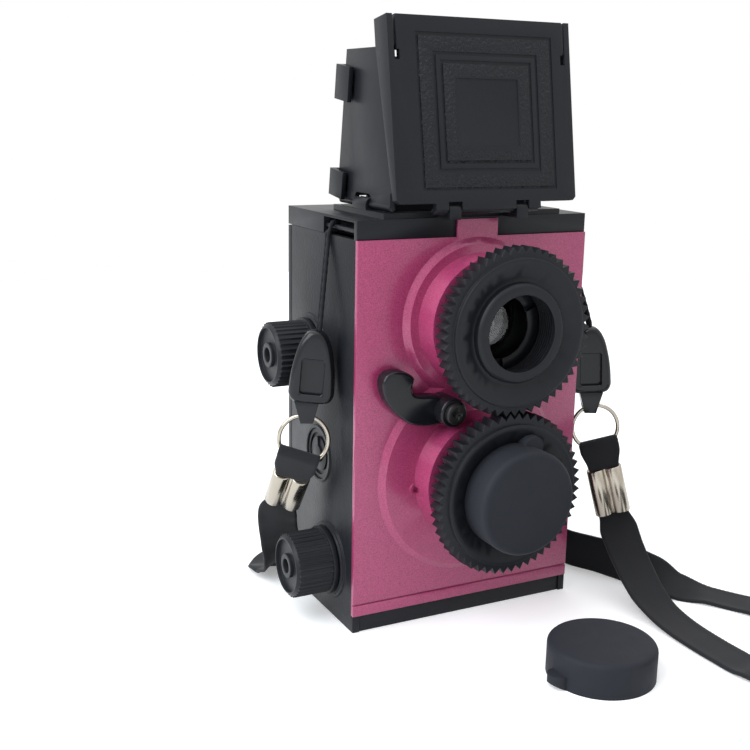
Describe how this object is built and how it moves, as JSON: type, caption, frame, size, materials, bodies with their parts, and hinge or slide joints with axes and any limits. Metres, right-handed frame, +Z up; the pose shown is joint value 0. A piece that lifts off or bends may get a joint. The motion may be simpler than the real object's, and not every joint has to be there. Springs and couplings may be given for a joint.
{
  "type": "twin_lens_toy_camera",
  "caption": "Small black and pink moulded twin-lens film camera with geared focus rings, folding hood, hinged back, rubber lens caps and a coiled ribbon neck strap",
  "frame": {"origin": "On the floor plane under the middle of the body, where the base mount is", "axes": "+Z up along the body's height, front with the lenses towards -Y, the winding knobs towards -X"},
  "size_m": [0.1853, 0.19, 0.1432],
  "materials": {
    "black_plastic": "semi-matte moulded",
    "inner_plastic": "matte moulded",
    "white_plastic": "natural moulded",
    "pink_plastic": "pearl gloss",
    "cap_rubber": "matte rubber",
    "lens_glass": "polished clear",
    "mirror_glass": "silvered",
    "screen_plastic": "finely frosted",
    "bright_steel": "bright nickelled",
    "black_steel": "blackened",
    "nut_brass": "plain turned",
    "strap_fabric": "ribbed woven"
  },
  "bodies": {
    "camera": {"front_plate": "pink_plastic", "left_side_plate": "black_plastic", "right_side_plate": "black_plastic", "bottom_plate": "black_plastic", "top_cover": "black_plastic", "lens_board": "inner_plastic", "dark_box": "inner_plastic", "mirror_shelf": "inner_plastic", "viewing_mirror": "mirror_glass", "focusing_screen": "screen_plastic", "aperture_plate": "inner_plastic", "shutter_spring": "bright_steel", "ratchet_pawl": "white_plastic", "tripod_nut": "nut_brass", "case_screws": "bright_steel", "back_hinge_pin": "bright_steel", "strap_lug_pins": "black_plastic", "strap_cords": "strap_fabric", "strap_buckles": "black_plastic", "strap_plugs": "black_plastic", "split_rings": "bright_steel", "ribbon_loops": "strap_fabric", "strap_ferrules": "bright_steel", "strap_left_run": "strap_fabric", "strap_right_run": "strap_fabric", "strap_coil": "strap_fabric", "strap_tie": "strap_fabric"},
    "viewing_cell": {"viewing_lens": "lens_glass", "viewing_lens_retainer": "black_plastic"},
    "viewing_ring": {"viewing_focus_ring": "black_plastic"},
    "taking_cell": {"taking_lens": "lens_glass", "taking_lens_retainer": "black_plastic"},
    "taking_ring": {"taking_focus_ring": "black_plastic"},
    "taking_cap": {"taking_lens_cap": "cap_rubber"},
    "loose_cap": {"viewing_lens_cap": "cap_rubber"},
    "lever": {"shutter_lever": "black_plastic", "lever_screw": "black_steel", "shutter_cam": "bright_steel"},
    "blade": {"shutter_blade": "bright_steel"},
    "winder": {"winding_knob": "black_plastic", "take_up_spool": "inner_plastic", "ratchet_wheel": "white_plastic"},
    "rewinder": {"rewind_knob": "black_plastic", "rewind_fork": "inner_plastic"},
    "counter": {"counter_dial": "black_plastic", "counter_wheel": "white_plastic"},
    "lid": {"hood_lid": "black_plastic"},
    "left_flap": {"hood_left_panel": "black_plastic"},
    "right_flap": {"hood_right_panel": "black_plastic"},
    "rear_flap": {"hood_back_panel": "black_plastic"},
    "back": {"back_cover": "black_plastic", "pressure_spring": "bright_steel"},
    "film_plate": {"pressure_plate": "inner_plastic"},
    "latch": {"back_latch": "black_plastic"}
  },
  "joints": [
    {"name": "viewing_travel", "type": "slide", "parent": "camera", "child": "viewing_cell", "axis": [0, -1, 0], "range_m": [-0.0007, 0.0018]},
    {"name": "viewing_turn", "type": "hinge", "parent": "viewing_cell", "child": "viewing_ring", "pos_m": [0, 0, 0.075], "axis": [0, -1, 0], "range_deg": [-60, 160]},
    {"name": "taking_travel", "type": "slide", "parent": "camera", "child": "taking_cell", "axis": [0, -1, 0], "range_m": [-0.0007, 0.0018]},
    {"name": "taking_turn", "type": "hinge", "parent": "taking_cell", "child": "taking_ring", "pos_m": [0, 0, 0.037], "axis": [0, -1, 0], "range_deg": [-160, 60]},
    {"name": "taking_cap_pull", "type": "slide", "parent": "taking_ring", "child": "taking_cap", "axis": [0, -1, 0], "range_m": [0, 0.012]},
    {"name": "loose_cap_lift", "type": "slide", "parent": "camera", "child": "loose_cap", "axis": [0, 0, 1], "range_m": [0, 0.05]},
    {"name": "lever_press", "type": "hinge", "parent": "camera", "child": "lever", "pos_m": [-0.01, 0, 0.055], "axis": [0, -1, 0], "range_deg": [0, 25], "stiffness_Nm_per_rad": 0.003, "springref_deg": -17.19},
    {"name": "blade_swing", "type": "hinge", "parent": "camera", "child": "blade", "pos_m": [-0.011, 0, 0.0465], "axis": [0, -1, 0], "range_deg": [-40, 0]},
    {"name": "wind_turn", "type": "hinge", "parent": "camera", "child": "winder", "pos_m": [0, 0.0056, 0.0645], "axis": [1, 0, 0], "continuous": true},
    {"name": "rewind_turn", "type": "hinge", "parent": "camera", "child": "rewinder", "pos_m": [0, -0.006, 0.0142], "axis": [1, 0, 0], "continuous": true},
    {"name": "counter_turn", "type": "hinge", "parent": "camera", "child": "counter", "pos_m": [0, 0.0006, 0.0396], "axis": [1, 0, 0], "continuous": true},
    {"name": "lid_swing", "type": "hinge", "parent": "camera", "child": "lid", "pos_m": [0, -0.0232, 0.1009], "axis": [1, 0, 0], "range_deg": [0, 30]},
    {"name": "left_fold", "type": "hinge", "parent": "camera", "child": "left_flap", "pos_m": [-0.022, 0, 0.1014], "axis": [0, 1, 0], "range_deg": [0, 90]},
    {"name": "right_fold", "type": "hinge", "parent": "camera", "child": "right_flap", "pos_m": [0.022, 0, 0.1031], "axis": [0, -1, 0], "range_deg": [0, 90]},
    {"name": "rear_swing", "type": "hinge", "parent": "camera", "child": "rear_flap", "pos_m": [0, 0.0102, 0.1009], "axis": [-1, 0, 0], "range_deg": [0, 20]},
    {"name": "back_open", "type": "hinge", "parent": "camera", "child": "back", "pos_m": [0.032, 0.019, 0], "axis": [0, 0, -1], "range_deg": [0, 90]},
    {"name": "film_press", "type": "slide", "parent": "back", "child": "film_plate", "axis": [0, 1, 0], "range_m": [0, 0.0004], "stiffness_N_per_m": 300, "springref_m": -0.001},
    {"name": "latch_slide", "type": "slide", "parent": "back", "child": "latch", "axis": [1, 0, 0], "range_m": [-0.0014, 0]}
  ],
  "couplings": [
    {"joint": "viewing_travel", "follows": "viewing_turn", "m_per_rad": 0.00063662},
    {"joint": "taking_turn", "follows": "viewing_turn", "ratio": -1},
    {"joint": "taking_travel", "follows": "viewing_turn", "m_per_rad": 0.00063662},
    {"joint": "blade_swing", "follows": "lever_press", "ratio": -1.6}
  ]
}
